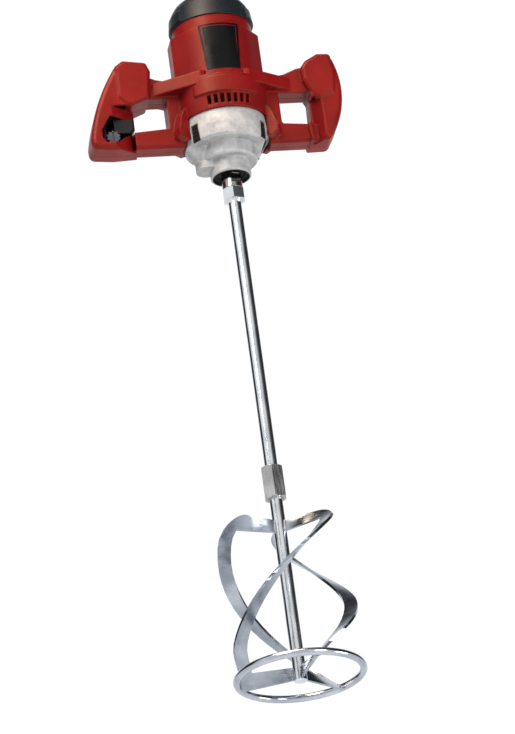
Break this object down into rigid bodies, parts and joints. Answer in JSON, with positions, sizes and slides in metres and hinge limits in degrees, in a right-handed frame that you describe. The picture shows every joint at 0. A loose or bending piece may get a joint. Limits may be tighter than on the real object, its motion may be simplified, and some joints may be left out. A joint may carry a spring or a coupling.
{
  "type": "drill paint mixer",
  "caption": "Two-handed electric paint mixer: round motor housing between closed side grips, gear head and screwed stirrer rod with helical blades on a ring.",
  "frame": {"origin": "on the spindle axis, half way up the two hand grips", "axes": "+Z along the spindle axis towards the motor's cap, the name plate faces -Y, the trigger grip is on -X"},
  "size_m": [0.2793, 0.14, 0.79],
  "materials": {
    "red_shell": "satin",
    "black_cap": "satin",
    "black_trim": "satin",
    "dial": "satin",
    "louvre": "matte",
    "cast_aluminium": "fine cast",
    "zinc_steel": "zinc plated",
    "blade_steel": "satin",
    "bright_steel": "polished",
    "bearing_steel": "ground",
    "gear_steel": "oiled",
    "lamination": "varnished",
    "copper": "enamelled copper",
    "brass": "satin",
    "carbon": "matte",
    "fan_plastic": "satin",
    "seal_rubber": "matte",
    "plate_film": "satin print"
  },
  "bodies": {
    "machine": {"bearing_plate": "cast_aluminium", "brush_holder_1": "brass", "brush_holder_2": "brass", "cable_gland": "black_trim", "cap_screw_1": "zinc_steel", "cap_screw_2": "zinc_steel", "carbon_brush_1": "carbon", "carbon_brush_2": "carbon", "field_coil_1": "copper", "field_coil_2": "copper", "gear_housing": "cast_aluminium", "gear_screw_1": "zinc_steel", "gear_screw_2": "zinc_steel", "gear_screw_3": "zinc_steel", "gear_screw_4": "zinc_steel", "handle_front_shell": "red_shell", "handle_rear_shell": "red_shell", "intermediate_bearing_lower": "bearing_steel", "intermediate_bearing_upper": "bearing_steel", "louvre_1": "louvre", "louvre_2": "louvre", "louvre_3": "louvre", "louvre_4": "louvre", "motor_bearing_lower": "bearing_steel", "motor_bearing_upper": "bearing_steel", "motor_housing": "red_shell", "nameplate": "plate_film", "rating_plate": "plate_film", "shell_screw_1": "zinc_steel", "shell_screw_2": "zinc_steel", "shell_screw_3": "zinc_steel", "shell_screw_4": "zinc_steel", "shell_screw_5": "zinc_steel", "shell_screw_6": "zinc_steel", "spindle_bearing_lower": "bearing_steel", "spindle_bearing_upper": "bearing_steel", "spindle_circlip": "zinc_steel", "spindle_seal": "seal_rubber", "stator_core": "lamination", "switch_body": "black_trim", "top_cap": "black_cap"},
    "spindle": {"output_spindle": "bright_steel", "output_gear": "gear_steel", "upper_rod": "bright_steel", "coupling_sleeve": "bright_steel", "lower_rod": "bright_steel", "mixing_ring": "bright_steel", "blade_1": "blade_steel", "blade_2": "blade_steel", "blade_3": "blade_steel"},
    "intermediate": {"intermediate_shaft": "gear_steel", "intermediate_gear": "gear_steel"},
    "rotor": {"armature_shaft": "gear_steel", "armature_core": "lamination", "armature_windings": "copper", "commutator": "copper", "cooling_fan": "fan_plastic"},
    "trigger": {"trigger": "black_trim"},
    "speed_dial": {"speed_dial": "dial"},
    "lock_button": {"lock_button": "black_trim"}
  },
  "joints": [
    {"name": "spindle_spin", "type": "hinge", "parent": "machine", "child": "spindle", "pos_m": [0, 0, -0.06], "axis": [0, 0, 1], "continuous": true},
    {"name": "intermediate_spin", "type": "hinge", "parent": "machine", "child": "intermediate", "pos_m": [-0.022, 0, -0.035], "axis": [0, 0, 1], "continuous": true},
    {"name": "rotor_spin", "type": "hinge", "parent": "machine", "child": "rotor", "pos_m": [0, 0, 0.03], "axis": [0, 0, 1], "continuous": true},
    {"name": "trigger_pull", "type": "slide", "parent": "machine", "child": "trigger", "axis": [-1, 0, 0], "range_m": [0, 0.006], "stiffness_N_per_m": 400, "springref_m": -0.004},
    {"name": "lock_button_push", "type": "slide", "parent": "machine", "child": "lock_button", "axis": [0, -1, 0], "range_m": [0, 0.003], "stiffness_N_per_m": 400, "springref_m": -0.002},
    {"name": "speed_dial_turn", "type": "hinge", "parent": "machine", "child": "speed_dial", "pos_m": [-0.124, -0.012, -0.032], "axis": [0, -1, 0], "range_deg": [-135, 135]}
  ],
  "couplings": [
    {"joint": "intermediate_spin", "follows": "spindle_spin", "ratio": -3.8889},
    {"joint": "rotor_spin", "follows": "spindle_spin", "ratio": 19.877}
  ]
}
